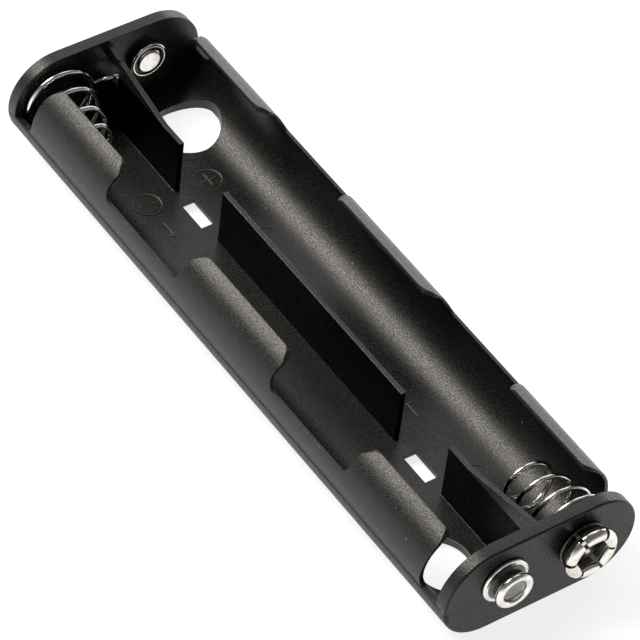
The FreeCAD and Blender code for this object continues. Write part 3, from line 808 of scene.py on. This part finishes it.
def coil_line(stations, side):
    """The wire's line through a coil, its kinks at the stations evened out."""
    per_turn, evened = 24, 0.12
    total = stations[-1][0]
    steps = round(total * per_turn)
    line = []
    for i in range(steps + 1):
        turn = total * i / steps
        turns = [min(total, max(0.0, turn + shift)) for shift in (-evened, 0, evened)]
        near_by = [station(stations, each) for each in turns]
        radius, depth, across, up = [sum(values) / 3 for values in zip(*near_by)]
        angle = math.pi + 2 * math.pi * turn
        x = -side * (across + radius * math.cos(angle))
        line.append((x, side * (PLATE_INSIDE - depth), up + radius * math.sin(angle)))
    return line


def eye_line(side, start, stop):
    """The wire's eye round a terminal's barrel, flat on the plate."""
    radius, depth, steps = 1.8, 0.45, 18
    line = []
    for i in range(steps + 1):
        angle = math.radians(start + (stop - start) * i / steps)
        x, z = TERMINAL_X + radius * math.cos(angle), TERMINAL_Z + radius * math.sin(angle)
        line.append((x, side * (PLATE_INSIDE - depth), z))
    return line


def make_springs(finish):
    """Two whole wires on the tray, each coiled out from its plate."""
    near = eye_line(-1, 240, 480) + [(3.75, -52.12, 10.3)] + coil_line(NEAR_STATIONS, -1)
    near_spring = wire(near)
    settle(near_spring, "near_coil_wire", finish, "spring_wire", "tray", "negative_spring")
    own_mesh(near_spring)
    bridge = [
        (3.6, 52.05, 7.6), (2.3, 51.6, 8.4), (0.9, 50.5, 9.5), (-0.7, 50.45, 9.7),
        (-1.9, 51.2, 9.3),
    ]
    far_spring = wire(eye_line(1, 120, -120) + bridge + coil_line(FAR_STATIONS, 1))
    settle(far_spring, "far_coil_wire", finish, "spring_wire", "tray", "bridge_spring")
    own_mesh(far_spring)


# The pieces with their materials
# Rings of painted shade on the terminals: the stud's neck, sunken face and inner flange, the
# socket's cup and foot, the button's slope.
stud_shaded_rings = (
    (0.0, 2.45, 0.75, 1.72, 1.0), (0.0, 1.80, 1.8, 2.3, 0.72), (2.3, 3.05, 0.5, 0.95, 0.9),
)
socket_shaded_rings = ((0.0, 3.15, 0.0, 2.5, 0.92), (3.1, 4.0, -0.2, 1.45, 0.92))
button_shaded_rings = ((1.95, 2.55, 0.7, 1.4, 0.92),)
plating = nickel("snap_nickel", 0.10, (0.86, 0.84, 0.80))
stud_plating = nickel(
    "stud_nickel", 0.08, (0.90, 0.88, 0.84), -TERMINAL_X, HALF_LENGTH, stud_shaded_rings
)
socket_plating = nickel(
    "socket_nickel", 0.08, (0.90, 0.87, 0.82), TERMINAL_X, HALF_LENGTH, socket_shaded_rings
)
button_plating = nickel(
    "button_nickel", 0.10, (0.92, 0.90, 0.86), TERMINAL_X, PLATE_INSIDE, button_shaded_rings
)
bright_wire = nickel("spring_wire", 0.08, (0.86, 0.85, 0.82))

settle(make_housing(), "housing_finish", moulded_black(), "moulded_black", "tray", "housing")

stud = on_plate(make_stud(), -1, -TERMINAL_X, HALF_LENGTH)
settle(stud, "stud_terminal", stud_plating, "snap_nickel", "tray", "positive_snap")
socket = on_plate(make_socket(), -1, TERMINAL_X, HALF_LENGTH)
settle(socket, "socket_terminal", socket_plating, "snap_nickel", "tray", "negative_snap")
contact = on_plate(make_contact(), 1, TERMINAL_X, PLATE_INSIDE)
settle(contact, "button_contact", button_plating, "snap_nickel", "tray", "positive_contact")

for node in ("positive_rivet", "negative_rivet"):
    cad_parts[node].data.materials.clear()
    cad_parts[node].data.materials.append(plating)

make_springs(bright_wire)


# Stage, in metres
def area_light(name, place, size, power, colour=(1, 1, 1)):
    """A rectangular light that shines at the origin."""
    data = bpy.data.lights.new(name, "AREA")
    data.shape = "RECTANGLE"
    data.size, data.size_y = size
    data.energy = power
    data.color = colour
    obj = bpy.data.objects.new(name, data)
    bpy.context.collection.objects.link(obj)
    obj.location = place
    obj.rotation_mode = "QUATERNION"
    obj.rotation_quaternion = (-Vector(place)).to_track_quat("-Z", "Y")


def make_floor():
    """A plain pale floor just under the tray."""
    bpy.ops.object.select_all(action="DESELECT")
    bpy.ops.mesh.primitive_plane_add(size=3.0, location=(0, 0, -0.0002))
    floor = bpy.context.object
    floor.name = "floor"
    shader = Shader("pale_floor", Roughness=0.9, Emission_Strength=0.8)
    shader.feed(Base_Color=(0.42, 0.42, 0.42), Emission_Color=(1, 1, 1))
    floor.data.materials.append(shader.material)


def make_world():
    """A grey studio, bright up to the horizon and dim above it."""
    world = bpy.data.worlds.new("studio")
    bpy.context.scene.world = world
    world.use_nodes = True
    nodes, links = world.node_tree.nodes, world.node_tree.links
    coords = nodes.new("ShaderNodeTexCoord")
    split = nodes.new("ShaderNodeSeparateXYZ")
    ramp = nodes.new("ShaderNodeValToRGB")
    stops = ((0.0, 0.7), (0.12, 0.6), (0.42, 0.14), (1.0, 0.14))
    while len(ramp.color_ramp.elements) < len(stops):
        ramp.color_ramp.elements.new(1.0)
    for element, (position, grey) in zip(ramp.color_ramp.elements, stops):
        element.position = position
        element.color = (grey, grey, grey, 1)
    links.new(coords.outputs["Generated"], split.inputs[0])
    links.new(split.outputs["Z"], ramp.inputs[0])
    links.new(ramp.outputs[0], nodes["Background"].inputs[0])


def make_camera():
    """The camera fitted to the photograph: place, directions and focal length."""
    place = Vector((-0.28373, -0.34174, 0.46981))
    azimuth, elevation, roll = map(math.radians, (39.898, 46.288, 7.628))
    focal_pixels, image_pixels, sensor = 4609.3, 640, 36.0
    flat = math.cos(elevation)
    ahead = Vector(
        (math.sin(azimuth) * flat, math.cos(azimuth) * flat, -math.sin(elevation))
    )
    level = ahead.cross(Vector((0, 0, 1))).normalized()
    upright = level.cross(ahead)
    right = level * math.cos(roll) + upright * math.sin(roll)
    up = upright * math.cos(roll) - level * math.sin(roll)
    data = bpy.data.cameras.new("camera")
    data.sensor_width = sensor
    data.lens = focal_pixels / image_pixels * sensor
    data.clip_start, data.clip_end = 0.01, 20
    camera = bpy.data.objects.new("camera", data)
    bpy.context.collection.objects.link(camera)
    turn = Matrix((right, up, -ahead)).transposed().to_4x4()
    camera.matrix_world = Matrix.Translation(place) @ turn
    bpy.context.scene.camera = camera


make_floor()
make_world()
bpy.context.scene.view_settings.view_transform = "Standard"
area_light("key", (-0.315, 0.477, 0.70), (0.46, 0.46), 7.0, (1.0, 0.95, 0.87))
area_light("fill", (0.40, 0.48, 0.65), (0.60, 0.60), 1.35)
area_light("low", (0.92, 0.58, 0.26), (0.70, 0.34), 2.6)
make_camera()
